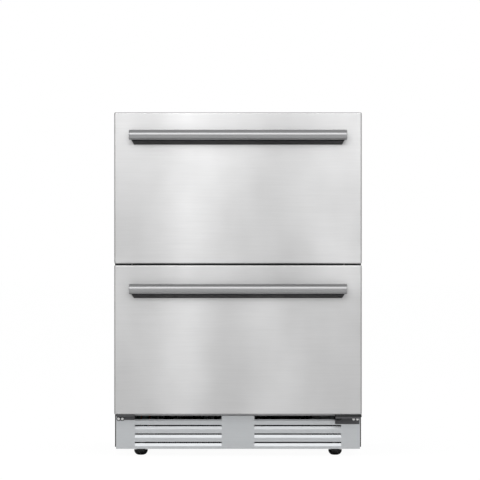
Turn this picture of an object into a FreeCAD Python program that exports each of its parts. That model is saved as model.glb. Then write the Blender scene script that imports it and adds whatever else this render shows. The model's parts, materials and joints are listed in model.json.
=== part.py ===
import FreeCAD, Part
import Sketcher
import math
import os

# Under-counter refrigerator with two stacked drawers, in millimetres.
# The origin is on the floor under the middle of the outline, +Z is up and the drawers open towards -Y.

SIZES = {
    # Cabinet shell
    "cabinet_width": 595,
    "cabinet_depth": 515,
    "cabinet_top": 830,
    "cabinet_bottom": 22,
    "sheet": 1,
    "front_return": 40,
    "side_wall": 42,
    "top_wall": 45,
    "rear_wall": 50,
    "liner_wall": 2.5,
    # Floor of the cold space, and the machine bay under and behind it
    "deck_height": 97,
    "floor_wall": 49,
    "bay_depth": 190,
    "bay_height": 245,
    "hump_wall": 42,
    "base_sheet": 1.5,
    "base_lip": 12,
    # Rail between the two drawers
    "mullion_height": 52,
    "mullion_depth": 40,
    "mullion_bevel": 8,
    # Drawer fronts
    "front_bottom": 102.5,
    "upper_front_height": 364,
    "lower_front_height": 359.5,
    "front_gap": 3,
    "front_thickness": 40,
    "skin": 1,
    "skin_radius": 3,
    "panel_wall": 3,
    "step_height": 12,
    "step_inset": 49.5,
    "step_clearance": 8.5,
    "step_high": 306,
    "step_radius": 6,
    # Door seal
    "gasket_gap": 10,
    "gasket_inset": 6,
    "gasket_width": 18,
    "gasket_foot": 3,
    "gasket_neck": 4,
    "gasket_neck_inset": 4,
    "seal_clearance": 0.3,
    # Handles
    "handle_diameter": 25,
    "handle_length": 522,
    "upper_handle_drop": 55,
    "lower_handle_drop": 57,
    "handle_reach": 50,
    "handle_edge": 2,
    "bracket_flange": 2.5,
    "bracket_rise": 9,
    "bracket_fall": 10,
    "bracket_web": 4,
    "bracket_inset": 6,
    "bracket_slant": 5,
    "saddle_clearance": 0.05,
    # Telescopic slides, three members a side
    "slide_length": 400,
    "slide_setback": 20,
    "slide_clearance": 15.2,
    "slide_half": 22.8,
    "slide_depth": 12.7,
    "slide_sheet": 1.4,
    "slide_lap": 10.5,
    "race": 3.6,
    "web_clearance": 0.5,
    "race_clearance": 0.3,
    "cage_width": 2,
    "cage_length": 150,
    "cage_margin": 20,
    # Arms and bins
    "arm_sheet": 2,
    "arm_lip": 11,
    "arm_drop": 16,
    "arm_tab": 30,
    "arm_tab_drop": 62,
    "bin_wall": 1.2,
    "bin_side_clearance": 1,
    "bin_flange_clearance": 1,
    "bin_front_clearance": 4,
    "bin_rear_clearance": 10,
    "bin_clearance": 10.5,
    "upper_bin_depth": 370,
    # Louvred kick plate
    "kick_sheet": 1.2,
    "kick_inset": 2.5,
    "kick_bottom": 17,
    "kick_rail": 6.5,
    "kick_side": 45.5,
    "kick_middle": 79,
    "slat_flat": 10,
    "slat_rise": 7,
    "slat_run": 2,
    "slat_gap": 3.5,
    "slat_count": 3,
    "top_slat_cut": 3.5,
    # Corner brackets under the lower drawer, and their screws
    "plate": 3,
    "plate_end_inset": 4,
    "left_plate_width": 44,
    "left_plate_low": 87,
    "left_plate_high": 101,
    "right_plate_width": 59,
    "right_plate_low": 77,
    "right_plate_high": 96,
    "arm_setback": 3,
    "pad_height": 5.5,
    "bumper_radius": 8.5,
    "bumper_height": 6.5,
    "bumper_edge": 4,
    "bumper_stem": 3,
    "bumper_inset": 7.5,
    "screw_head": 7,
    "screw_rise": 2.2,
    "screw_shank": 4,
    "screw_clearance": 0.1,
    "left_screw_height": 90,
    "screw_lobe": 5.5,
    "right_screw_height": 89,
    "screw_pitch": 9,
    "screw_edge": 5,
    # Levelling feet
    "foot_inset": 61.5,
    "foot_setback": 45,
    "foot_diameter": 33,
    "foot_height": 13,
    "foot_edge": 12,
    "stud_diameter": 10,
    "stud_length": 45,
    "boss_diameter": 20,
    "boss_height": 20,
    "stud_fit": 0.08,
    # Control box and lamp under the ceiling
    "control_width": 180,
    "control_depth": 60,
    "control_height": 24,
    "control_setback": 25,
    "control_bevel": 10,
    "display_width": 44,
    "display_height": 12,
    "display_seat": 1.5,
    "display_proud": 0.5,
    "button_diameter": 9,
    "button_length": 6,
    "button_proud": 2,
    "button_travel": 1.2,
    "button_fit": 0.1,
    "button_offset": 50,
    "button_pitch": 16,
    "lamp_width": 160,
    "lamp_depth": 28,
    "lamp_height": 9,
    "lamp_setback": 110,
    "lamp_bevel": 4,
    # Finned coils
    "tube": 8,
    "fin": 0.8,
    "condenser_count": 6,
    "condenser_pitch": 32,
    "condenser_left": 195,
    "condenser_right": 45,
    "condenser_rear": 75,
    "condenser_height": 60,
    "condenser_fins": 12,
    "coil_margin": 14,
    "coil_end": 6,
    "evaporator_count": 4,
    "evaporator_pitch": 26,
    "evaporator_half": 150,
    "evaporator_low": 20,
    "evaporator_depth": 38,
    "evaporator_fins": 14,
    # Evaporator cover and fan
    "cover_half": 205,
    "cover_low": 6,
    "cover_height": 250,
    "cover_depth": 58,
    "cover_wall": 2.5,
    "cover_radius": 10,
    "inlet_low": 16,
    "inlet_slot": 8,
    "inlet_pitch": 16,
    "inlet_count": 5,
    "inlet_margin": 30,
    "cold_fan_height": 182,
    "cold_fan_tip": 42,
    "cold_fan_hub": 15,
    "fan_opening": 3,
    "fan_guard": 3,
    "cold_motor_radius": 18,
    "cold_motor_length": 24,
    # Condenser fan
    "warm_fan_offset": 115,
    "warm_fan_height": 68,
    "warm_fan_tip": 55,
    "warm_fan_hub": 18,
    "warm_motor_radius": 24,
    "warm_motor_length": 36,
    "shroud_margin": 12,
    "shroud_sheet": 2,
    "shroud_setback": 6,
    "shroud_arm": 8,
    "motor_plate": 3,
    "motor_edge": 4,
    "blade_count": 5,
    "blade_depth": 14,
    "blade_thickness": 1.6,
    "hub_lip": 1,
    "blade_clearance": 3,
    "shaft": 5,
    "shaft_fit": 0.05,
    # Compressor set
    "compressor_margin": 11,
    "compressor_radius": 68,
    "compressor_headroom": 56.5,
    "compressor_dome": 28,
    "compressor_seam": 4,
    "compressor_plate": 3,
    "compressor_plate_width": 190,
    "compressor_plate_depth": 120,
    "grommet_height": 12,
    "grommet_radius": 11,
    "grommet_neck": 7,
    "grommet_fit": 0.2,
    "grommet_edge": 15,
    "port_radius": 4,
    "port_height": 12,
    "port_offset": 25,
    "terminal_width": 46,
    "terminal_depth": 30,
    "terminal_low": 45,
    "terminal_height": 64,
    # Refrigerant lines, evaporation pan and mains inlet
    "line_radius": 3,
    "line_bend": 12,
    "line_rise": 22,
    "line_side": 225,
    "drier_radius": 9,
    "drier_length": 80,
    "drier_side": 245,
    "capillary_radius": 1.5,
    "capillary_run": 60,
    "pan_left": 212,
    "pan_right": 15,
    "pan_depth": 72,
    "pan_height": 34,
    "pan_wall": 1.5,
    "pan_setback": 12,
    "inlet_width": 28,
    "inlet_height": 20,
    "inlet_body": 24,
    "inlet_flange": 5,
    "inlet_wall": 2.5,
    "inlet_offset": 30,
    "inlet_level": 200,
    "inlet_fit": 0.2,
    "slot_width": 70,
    "slot_height": 5,
    "slot_pitch": 13,
    "slot_count": 9,
    "slot_low": 100,
}

doc = FreeCAD.newDocument("drawer_refrigerator")
sheet = doc.addObject("Spreadsheet::Sheet", "Sizes")
for row, (alias, number) in enumerate(SIZES.items(), 1):
    sheet.set(f"A{row}", alias)
    sheet.set(f"B{row}", str(number))
    sheet.setAlias(f"B{row}", alias)
doc.recompute()


class Size:
    """A number in millimetres with the sheet formula that gives it."""

    def __init__(self, value, formula):
        self.value = float(value)
        self.formula = formula

    def __add__(self, other):
        other = as_size(other)
        return Size(self.value + other.value, f"({self.formula} + {other.formula})")

    def __sub__(self, other):
        other = as_size(other)
        return Size(self.value - other.value, f"({self.formula} - {other.formula})")

    def __mul__(self, factor):
        factor = as_size(factor)
        return Size(self.value * factor.value, f"({self.formula} * {factor.formula})")

    def __truediv__(self, factor):
        factor = as_size(factor)
        return Size(self.value / factor.value, f"({self.formula} / {factor.formula})")

    def __neg__(self):
        return Size(-self.value, f"(0 - {self.formula})")


def as_size(number):
    if isinstance(number, Size):
        return number
    return Size(number, repr(float(number)))


class SheetSizes:
    """The driving dimensions, read from the sheet by name."""

    def __getattr__(self, alias):
        return Size(sheet.get(alias), f"Sizes.{alias}")


s = SheetSizes()


# Outlines that are drawn on a sketch, each corner bound to the sheet

def pin(sketch, curve, point, across, up):
    """Fixes a point of a curve at a distance across and up from the sketch's origin."""
    for kind, distance in (("DistanceX", across), ("DistanceY", up)):
        distance = as_size(distance)
        rule = sketch.addConstraint(Sketcher.Constraint(kind, -1, 1, curve, point, distance.value))
        sketch.setExpression(f"Constraints[{rule}]", distance.formula)


def polygon(*corners):
    """A closed outline with straight sides."""

    def draw(sketch):
        places = [FreeCAD.Vector(as_size(u).value, as_size(v).value, 0) for u, v in corners]
        first = sketch.GeometryCount
        count = len(corners)
        for i in range(count):
            sketch.addGeometry(Part.LineSegment(places[i], places[(i + 1) % count]))
        for i in range(count):
            after = first + (i + 1) % count
            sketch.addConstraint(Sketcher.Constraint("Coincident", first + i, 2, after, 1))
        for i, (u, v) in enumerate(corners):
            pin(sketch, first + i, 1, u, v)

    return draw


def rectangle(u_low, v_low, u_high, v_high):
    return polygon((u_low, v_low), (u_high, v_low), (u_high, v_high), (u_low, v_high))


def rounded(u_low, v_low, u_high, v_high, radius):
    """A rectangle whose corners are arcs of one radius."""

    def draw(sketch):
        r = as_size(radius)
        left, right = as_size(u_low) + r, as_size(u_high) - r
        low, high = as_size(v_low) + r, as_size(v_high) - r
        corners = ((right, low), (right, high), (left, high), (left, low))
        first = sketch.GeometryCount
        for i, (u, v) in enumerate(corners):
            ring = Part.Circle(FreeCAD.Vector(u.value, v.value, 0), FreeCAD.Vector(0, 0, 1), r.value)
            start = (i - 1) * math.pi / 2
            sketch.addGeometry(Part.ArcOfCircle(ring, start, start + math.pi / 2))
            rule = sketch.addConstraint(Sketcher.Constraint("Radius", first + i, r.value))
            sketch.setExpression(f"Constraints[{rule}]", r.formula)
            pin(sketch, first + i, 3, u, v)
        shifts = ((r, 0), (0, r), (-r, 0), (0, -r))
        for i, (du, dv) in enumerate(shifts):
            start, end = corners[i], corners[(i + 1) % 4]
            line = sketch.addGeometry(Part.LineSegment(
                FreeCAD.Vector((start[0] + du).value, (start[1] + dv).value, 0),
                FreeCAD.Vector((end[0] + du).value, (end[1] + dv).value, 0)))
            sketch.addConstraint(Sketcher.Constraint("Coincident", first + i, 2, line, 1))
            sketch.addConstraint(Sketcher.Constraint("Coincident", line, 2, first + (i + 1) % 4, 1))
            kind = "DistanceY" if i % 2 == 0 else "DistanceX"
            for point, place in ((1, start), (2, end)):
                distance = place[1] if i % 2 == 0 else place[0]
                rule = sketch.addConstraint(Sketcher.Constraint(kind, -1, 1, line, point, distance.value))
                sketch.setExpression(f"Constraints[{rule}]", distance.formula)

    return draw


def circle(u, v, radius):
    def draw(sketch):
        radius_here = as_size(radius)
        centre = FreeCAD.Vector(as_size(u).value, as_size(v).value, 0)
        curve = sketch.addGeometry(Part.Circle(centre, FreeCAD.Vector(0, 0, 1), radius_here.value))
        rule = sketch.addConstraint(Sketcher.Constraint("Radius", curve, radius_here.value))
        sketch.setExpression(f"Constraints[{rule}]", radius_here.formula)
        pin(sketch, curve, 3, u, v)

    return draw


# Edges that a fillet takes, found by where they lie

def runs_along(edge, axis):
    """True for a straight edge along the axis 0, 1 or 2."""
    if edge.Degenerated or not isinstance(edge.Curve, Part.Line):
        return False
    return abs(abs(edge.Curve.Direction[axis]) - 1) < 1e-6


def lies_at(edge, axis, place):
    box = edge.BoundBox
    low = (box.XMin, box.YMin, box.ZMin)[axis]
    high = (box.XMax, box.YMax, box.ZMax)[axis]
    return abs(low - place.value) < 1e-4 and abs(high - place.value) < 1e-4


class Piece:
    """A body and the features drawn on its own origin planes.

    A prism lies between two places on the axis that its plane faces: Z for XY, Y for XZ and X for YZ.
    """

    def __init__(self, label):
        self.body = doc.addObject("PartDesign::Body", label)
        self.body.Label = label

    def origin(self, role):
        return next(part for part in self.body.Origin.OriginFeatures if part.Role == role)

    def sketch(self, plane, level, outlines, across=0, up=0):
        drawing = self.body.newObject("Sketcher::SketchObject", self.body.Label + "_outline")
        drawing.AttachmentSupport = (self.origin(plane + "_Plane"), [""])
        drawing.MapMode = "FlatFace"
        level = as_size(level)
        if plane == "XZ":
            level = -level
        for axis, place in (("x", as_size(across)), ("y", as_size(up)), ("z", level)):
            drawing.setExpression(f"AttachmentOffset.Base.{axis}", place.formula)
        for draw in outlines:
            draw(drawing)
        return drawing

    def feature(self, kind, profile=None):
        made = self.body.newObject("PartDesign::" + kind, self.body.Label + "_" + kind.lower())
        if profile is not None:
            made.Profile = profile
        return made

    def pad(self, plane, low, high, *outlines):
        level = high if plane == "XZ" else low
        made = self.feature("Pad", self.sketch(plane, level, outlines))
        made.setExpression("Length", (as_size(high) - low).formula)
        return made

    def pocket(self, plane, low, high, *outlines):
        level = low if plane == "XZ" else high
        made = self.feature("Pocket", self.sketch(plane, level, outlines))
        made.setExpression("Length", (as_size(high) - low).formula)
        return made

    def half_turn(self, level, across, up, outline, axis, reversed_turn):
        """A half ring from an outline on a YZ plane, turned about one of the sketch's own axes."""
        made = self.feature("Revolution", self.sketch("YZ", level, [outline], across, up))
        made.ReferenceAxis = (made.Profile[0], [axis])
        made.Angle = 180
        made.Reversed = reversed_turn
        return made

    def turn(self, outline, across, up):
        """A full turn about the vertical line at a place on the XZ plane through the body's origin."""
        made = self.feature("Revolution", self.sketch("XZ", 0, [outline], across, up))
        made.ReferenceAxis = (made.Profile[0], ["V_Axis"])
        made.Angle = 360
        return made

    def fillet(self, radius, choose):
        doc.recompute()
        base = self.body.Tip
        edges = [f"Edge{i}" for i, edge in enumerate(base.Shape.Edges, 1) if choose(edge)]
        made = self.feature("Fillet")
        made.Base = (base, edges)
        made.setExpression("Radius", as_size(radius).formula)
        return made

    def row(self, features, axis, pitch, count):
        """Copies of features in a row along an origin axis."""
        made = self.feature("LinearPattern")
        made.Originals = features
        made.Direction = (self.origin(axis + "_Axis"), [""])
        made.Mode = "Spacing"
        made.setExpression("Offset", as_size(pitch).formula)
        made.setExpression("Occurrences", as_size(count).formula)
        self.body.Tip = made
        return made

    def ring(self, features, axis, count):
        """Copies of features in a full ring about an origin axis."""
        made = self.feature("PolarPattern")
        made.Originals = features
        made.Axis = (self.origin(axis + "_Axis"), [""])
        made.Angle = 360
        made.setExpression("Occurrences", as_size(count).formula)
        self.body.Tip = made
        return made

    def place(self, x, y, z):
        for axis, length in (("x", x), ("y", y), ("z", z)):
            self.body.setExpression(f"Placement.Base.{axis}", as_size(length).formula)


NODES = []


def keep(piece):
    NODES.append(piece.body if isinstance(piece, Piece) else piece)


def mirrored(label, source):
    """The same piece on the other side of the middle plane."""
    copy = doc.addObject("Part::Mirroring", label)
    copy.Label = label
    copy.Source = source.body
    copy.Base = (0, 0, 0)
    copy.Normal = (1, 0, 0)
    return copy


def keep_pair(label, source):
    """A left and a right piece that share one node."""
    pair = doc.addObject("Part::Compound", label)
    pair.Label = label
    pair.Links = [source.body, mirrored(label + "_left", source)]
    keep(pair)


# Places that several pieces share

half_width = s.cabinet_width / 2
back_y = (s.cabinet_depth + s.gasket_gap + s.front_thickness + s.handle_reach) / 2
flange_y = back_y - s.cabinet_depth
panel_y = flange_y - s.gasket_gap
face_y = panel_y - s.front_thickness
inner_y = flange_y + s.sheet
rear_y = back_y - s.sheet
return_half = half_width - s.front_return
shell_half = half_width - s.sheet
shell_top = s.cabinet_top - s.sheet
cavity_half = half_width - s.side_wall
liner_half = cavity_half + s.liner_wall
cavity_floor = s.deck_height + s.floor_wall
cavity_ceiling = s.cabinet_top - s.top_wall
cavity_rear = back_y - s.rear_wall
deck_top = s.deck_height + s.sheet
bay_front = back_y - s.bay_depth
bay_roof = s.bay_height + s.sheet
hump_front = bay_front - s.hump_wall
hump_top = s.bay_height + s.hump_wall
base_top = s.cabinet_bottom + s.base_sheet
lower_top = s.front_bottom + s.lower_front_height
upper_bottom = lower_top + s.front_gap
upper_top = upper_bottom + s.upper_front_height
mullion_middle = lower_top + s.front_gap / 2
mullion_top = mullion_middle + s.mullion_height / 2
kick_face = flange_y - s.kick_sheet
foot_across = half_width - s.foot_inset
foot_rows = (flange_y + s.foot_setback, back_y - s.foot_setback)


# Cabinet shell, insulation and liner

def make_shell():
    side = Piece("right_side_panel")
    side.pad("XY", s.cabinet_bottom, shell_top, polygon(
        (return_half, flange_y), (half_width, flange_y), (half_width, rear_y),
        (shell_half, rear_y), (shell_half, inner_y), (return_half, inner_y)))
    keep(side)
    keep(mirrored("left_side_panel", side))

    top = Piece("top_panel")
    top.pad("XY", shell_top, s.cabinet_top, rectangle(-half_width, flange_y, half_width, rear_y))
    top.pad("XZ", flange_y, inner_y, rectangle(-return_half, cavity_ceiling, return_half, shell_top))
    keep(top)

    rear = Piece("rear_panel")
    rear.pad("XZ", rear_y, back_y, rectangle(-half_width, s.bay_height, half_width, s.cabinet_top))
    keep(rear)

    deck = Piece("machine_deck")
    deck.pad("YZ", -shell_half, shell_half, polygon(
        (inner_y, s.deck_height), (bay_front, s.deck_height), (bay_front, s.bay_height),
        (rear_y, s.bay_height), (rear_y, bay_roof), (bay_front - s.sheet, bay_roof),
        (bay_front - s.sheet, deck_top), (inner_y, deck_top)))
    deck.pad("XZ", flange_y, inner_y, rectangle(-return_half, s.deck_height, return_half, cavity_floor))
    keep(deck)

    foam = Piece("cabinet_insulation")
    foam.pad("YZ", -shell_half, shell_half, polygon(
        (inner_y, deck_top), (bay_front - s.sheet, deck_top), (bay_front - s.sheet, bay_roof),
        (rear_y, bay_roof), (rear_y, shell_top), (inner_y, shell_top)))
    foam.pocket("YZ", -liner_half, liner_half, cavity_outline(s.liner_wall))
    keep(foam)

    liner = Piece("inner_liner")
    liner.pad("YZ", -liner_half, liner_half, cavity_outline(s.liner_wall))
    liner.pocket("YZ", -cavity_half, cavity_half, cavity_outline(0))
    keep(liner)

    mullion = Piece("mullion_rail")
    mullion_low = mullion_middle - s.mullion_height / 2
    mullion_rear = flange_y + s.mullion_depth
    mullion.pad("YZ", -cavity_half, cavity_half, polygon(
        (flange_y, mullion_low), (mullion_rear - s.mullion_bevel, mullion_low),
        (mullion_rear, mullion_low + s.mullion_bevel), (mullion_rear, mullion_top - s.mullion_bevel),
        (mullion_rear - s.mullion_bevel, mullion_top), (flange_y, mullion_top)))
    keep(mullion)


def cavity_outline(wall):
    """The cold space seen from the side, grown by a wall, with the step over the machine bay."""
    return polygon(
        (inner_y, cavity_floor - wall), (hump_front + wall, cavity_floor - wall),
        (hump_front + wall, hump_top - wall), (cavity_rear + wall, hump_top - wall),
        (cavity_rear + wall, cavity_ceiling + wall), (inner_y, cavity_ceiling + wall))


def foot_circles(radius):
    return [circle(x, y, radius) for x in (-foot_across, foot_across) for y in foot_rows]


def make_base():
    base = Piece("base_pan")
    base.pad("XY", s.cabinet_bottom, base_top, rectangle(-shell_half, inner_y, shell_half, rear_y))
    base.pad("XZ", rear_y - s.base_sheet, rear_y,
             rectangle(-shell_half, base_top, shell_half, base_top + s.base_lip))
    base.pad("XY", base_top, base_top + s.boss_height, *foot_circles(s.boss_diameter / 2))
    base.pocket("XY", s.cabinet_bottom, base_top + s.boss_height,
                *foot_circles(s.stud_diameter / 2 + s.stud_fit))
    keep(base)


def make_feet():
    glide = s.foot_diameter / 2
    stud = s.stud_diameter / 2
    stud_top = s.foot_height + s.stud_length
    for depth_name, y in zip(("front", "rear"), foot_rows):
        for side_name, x in (("left", -foot_across), ("right", foot_across)):
            foot = Piece(f"{depth_name}_{side_name}_foot")
            foot.turn(polygon((0, 0), (glide, 0), (glide, s.foot_height), (stud, s.foot_height),
                              (stud, stud_top), (0, stud_top)), 0, 0)
            foot.fillet(s.foot_edge, lambda edge: lies_at(edge, 2, as_size(0)) and edge.Length > 1)
            foot.place(x, y, 0)
            keep(foot)


# Kick plate and corner brackets under the lower drawer

kick_half = half_width - s.kick_inset
kick_post = kick_half - s.kick_side
kick_middle = s.kick_middle / 2
slat_pitch = s.slat_flat + s.slat_rise + s.slat_gap


def make_kick_plate():
    plate = Piece("kick_plate")
    rail_top = s.kick_bottom + s.kick_rail
    plate.pad("XZ", kick_face, flange_y, polygon(
        (-kick_half, s.kick_bottom), (kick_half, s.kick_bottom), (kick_half, s.deck_height),
        (kick_post, s.deck_height), (kick_post, rail_top), (kick_middle, rail_top),
        (kick_middle, s.deck_height), (-kick_middle, s.deck_height), (-kick_middle, rail_top),
        (-kick_post, rail_top), (-kick_post, s.deck_height), (-kick_half, s.deck_height)))
    slat_low = rail_top + s.slat_rise + s.slat_gap
    windows = ((-kick_post, -kick_middle), (kick_middle, kick_post))
    slats = []
    for left, right in windows:
        plate.pad("YZ", left, right, leaning_edge(rail_top))
        slats.append(plate.pad("YZ", left, right, polygon(
            (kick_face, slat_low), (flange_y, slat_low), (flange_y, slat_low + s.slat_flat),
            (flange_y + s.slat_run, slat_low + s.slat_flat + s.slat_rise),
            (kick_face + s.slat_run, slat_low + s.slat_flat + s.slat_rise),
            (kick_face, slat_low + s.slat_flat))))
    plate.row(slats, "Z", slat_pitch, s.slat_count)
    top_slat = slat_low + slat_pitch * s.slat_count - s.slat_gap
    for left, right in windows:
        plate.pocket("YZ", left, right, rectangle(
            kick_face, top_slat - s.top_slat_cut, flange_y + s.slat_run, top_slat))
    keep(plate)


def leaning_edge(low):
    """The top of a slat, which leans back into the machine bay."""
    return polygon((kick_face, low), (flange_y, low), (flange_y + s.slat_run, low + s.slat_rise),
                   (kick_face + s.slat_run, low + s.slat_rise))


plate_end = half_width - s.plate_end_inset
plate_face = kick_face - s.plate
screw_places = (plate_end - s.screw_edge, plate_end - s.screw_edge - s.screw_pitch)


def screw_circles(radius):
    """The two screws of each corner bracket, left ones first."""
    return [[circle(x * side, height, radius) for x in screw_places]
            for side, height in ((-1, s.left_screw_height), (1, s.right_screw_height))]


def make_brackets():
    hole = s.screw_shank / 2 + s.screw_clearance
    bumper_x = plate_end - s.right_plate_width + s.bumper_inset
    bumper_y = (face_y + s.arm_setback + plate_face) / 2
    for label, side, width, low, high, holes, lobes in (
            ("left_corner_bracket", -1, s.left_plate_width, s.left_plate_low, s.left_plate_high,
             screw_circles(hole)[0], screw_circles(s.screw_lobe)[0]),
            ("right_corner_bracket", 1, s.right_plate_width, s.right_plate_low, s.right_plate_high,
             screw_circles(hole)[1], [])):
        ends = sorted((plate_end * side, (plate_end - width) * side), key=lambda size: size.value)
        bracket = Piece(label)
        bracket.pad("XZ", plate_face, kick_face, rectangle(ends[0], low, ends[1], high))
        bracket.pad("XY", high - s.plate, high,
                    rectangle(ends[0], face_y + s.arm_setback, ends[1], plate_face))
        for lobe in lobes:
            bracket.pad("XZ", plate_face, kick_face, lobe)
        bracket.pocket("XZ", plate_face, kick_face, *holes)
        if side > 0:
            bracket.pocket("XY", high - s.plate, high,
                           circle(bumper_x, bumper_y, s.bumper_stem + s.screw_clearance))
        keep(bracket)

    pad = Piece("right_bracket_pad")
    pad.pad("XY", s.right_plate_high, s.right_plate_high + s.pad_height,
            rectangle(plate_end - s.right_plate_width, face_y + s.arm_setback, half_width, kick_face))
    pad.fillet(s.pad_height / 3, lambda edge: runs_along(edge, 2))
    arm_low = s.right_plate_high - s.plate
    bumper_low = arm_low - s.bumper_height
    pad.pad("XY", arm_low, s.right_plate_high, circle(bumper_x, bumper_y, s.bumper_stem))
    pad.pad("XY", bumper_low, arm_low, circle(bumper_x, bumper_y, s.bumper_radius))
    pad.fillet(s.bumper_edge, lambda edge: lies_at(edge, 2, bumper_low))
    keep(pad)

    screws = Piece("bracket_screws")
    screw_face = plate_face - s.screw_rise
    screws.pad("XZ", plate_face, kick_face, *sum(screw_circles(s.screw_shank / 2), []))
    screws.pad("XZ", screw_face, plate_face, *sum(screw_circles(s.screw_head / 2), []))
    screws.fillet(s.screw_rise / 2, lambda edge: lies_at(edge, 1, screw_face))
    keep(screws)


# Drawers

step_half = half_width - s.step_inset
step_low = cavity_floor + s.step_clearance - s.front_bottom
step_face = panel_y + s.step_height
handle_radius = s.handle_diameter / 2
handle_y = face_y - s.handle_reach + handle_radius
slide_front = flange_y + s.slide_setback
slide_rear = slide_front + s.slide_length
slide_rise = hump_top + s.slide_clearance + s.slide_half - s.front_bottom
arm_face = cavity_half - s.slide_depth
bin_front = step_face + s.arm_sheet + s.bin_front_clearance
bin_low = cavity_floor + s.bin_clearance - s.front_bottom


def make_front(name, low, high):
    edge_back = face_y + s.skin_radius
    skin_back = face_y + s.skin
    box, box_front = [
        rounded(inset - half_width, low + inset, half_width - inset, high - inset, s.skin_radius)
        for inset in (s.skin, s.skin + s.skin_radius)]
    skin = Piece(name + "_front_skin")
    skin.pad("XZ", face_y, panel_y, rectangle(-half_width, low, half_width, high))
    skin.fillet(s.skin_radius, lambda edge: lies_at(edge, 1, face_y) or runs_along(edge, 1))
    skin.pocket("XZ", edge_back, panel_y, box)
    skin.pocket("XZ", skin_back, edge_back, box_front)
    keep(skin)

    core = Piece(name + "_front_core")
    core_back = panel_y - s.panel_wall
    core.pad("XZ", edge_back, core_back, box)
    core.pad("XZ", skin_back, edge_back, box_front)
    well_half = step_half - s.panel_wall
    well = rectangle(-well_half, low + step_low + s.panel_wall,
                     well_half, low + s.step_high - s.panel_wall)
    core.pad("XZ", core_back, step_face - s.panel_wall, well)
    keep(core)

    panel = Piece(name + "_front_panel")
    panel.pad("XZ", core_back, panel_y, box)
    panel.pad("XZ", panel_y, step_face,
              rectangle(-step_half, low + step_low, step_half, low + s.step_high))
    panel.fillet(s.step_radius, lambda edge: lies_at(edge, 1, step_face))
    panel.pocket("XZ", core_back, step_face - s.panel_wall, well)
    keep(panel)

    seal = Piece(name + "_gasket")
    inset = s.gasket_inset
    for depth_low, depth_high, thinner in (
            (panel_y, panel_y + s.gasket_foot, 0),
            (panel_y + s.gasket_foot, panel_y + s.gasket_foot + s.gasket_neck, s.gasket_neck_inset),
            (panel_y + s.gasket_foot + s.gasket_neck, flange_y - s.seal_clearance, 0)):
        outer = inset + thinner
        inner = inset + s.gasket_width - thinner
        seal.pad("XZ", depth_low, depth_high,
                 rectangle(outer - half_width, low + outer, half_width - outer, high - outer),
                 rectangle(inner - half_width, low + inner, half_width - inner, high - inner))
    keep(seal)


def make_handle(name, height):
    half = s.handle_length / 2
    bar = Piece(name + "_handle_bar")
    bar.pad("YZ", -half, half, circle(handle_y, height, handle_radius))
    bar.fillet(s.handle_edge, lambda edge: lies_at(edge, 0, half) or lies_at(edge, 0, -half))
    keep(bar)

    bracket = Piece(name + "_handle_bracket")
    end = half - s.bracket_inset
    foot = height - handle_radius - s.bracket_fall
    flange = face_y - s.bracket_flange
    under = height - handle_radius
    bracket.pad("YZ", -end, end, polygon(
        (face_y, foot), (handle_y, under - s.bracket_web / 2), (handle_y, under + s.bracket_web),
        (flange, foot + s.bracket_web), (flange, height + s.bracket_rise),
        (face_y, height + s.bracket_rise)))
    bracket.pocket("YZ", -end, end, circle(handle_y, height, handle_radius + s.saddle_clearance))
    for side in (-1, 1):
        bracket.pocket("XZ", handle_y - handle_radius, face_y, polygon(
            (end * side, under), (end * side, foot), ((end - s.bracket_slant) * side, foot)))
    keep(bracket)


def slide_channel(back, front, half_height, facing):
    """One member of a right-hand slide: a channel between two places across, open to one side."""
    wall = s.slide_sheet
    web_side, open_side = (back, front) if facing == "inwards" else (front, back)
    web_inner = web_side - wall if facing == "inwards" else web_side + wall
    return polygon(
        (web_side, -half_height), (open_side, -half_height), (open_side, wall - half_height),
        (web_inner, wall - half_height), (web_inner, half_height - wall),
        (open_side, half_height - wall), (open_side, half_height), (web_side, half_height))


def make_slides(name, low):
    centre = low + slide_rise
    outer_inside = s.slide_half - s.slide_sheet
    middle_half = outer_inside - s.race
    middle_inside = middle_half - s.slide_sheet
    inner_half = middle_inside - s.race
    middle_back = cavity_half - s.slide_sheet - s.web_clearance
    middle_front = arm_face + s.slide_sheet + s.web_clearance
    inner_back = middle_back - s.slide_sheet - s.web_clearance

    outer = Piece(name + "_slide_outer_right")
    outer.pad("XZ", slide_front, slide_rear,
              slide_channel(cavity_half, cavity_half - s.slide_lap, s.slide_half, "inwards"))
    outer.place(0, 0, centre)
    keep_pair(name + "_slide_outer", outer)

    middle = Piece(name + "_slide_middle_right")
    middle.pad("XZ", slide_front, slide_rear,
               slide_channel(middle_back, middle_front, middle_half, "inwards"))
    gap = s.race_clearance
    cage_middle = (middle_back + middle_front) / 2
    cage_left = cage_middle - s.cage_width / 2
    cage_right = cage_middle + s.cage_width / 2
    rear_cage = slide_rear - s.cage_margin
    front_cage = slide_front + s.cage_margin
    for lower, upper, start in (
            (middle_half + gap, outer_inside - gap, rear_cage - s.cage_length),
            (inner_half + gap, middle_inside - gap, front_cage)):
        middle.pad("XZ", start, start + s.cage_length,
                   rectangle(cage_left, lower, cage_right, upper),
                   rectangle(cage_left, -upper, cage_right, -lower))
    middle.place(0, 0, centre)
    keep_pair(name + "_slide_middle", middle)

    inner = Piece(name + "_slide_inner_right")
    inner.pad("XZ", slide_front, slide_rear,
              slide_channel(inner_back, arm_face, inner_half, "outwards"))
    inner.place(0, 0, centre)
    keep_pair(name + "_slide_inner", inner)


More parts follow.
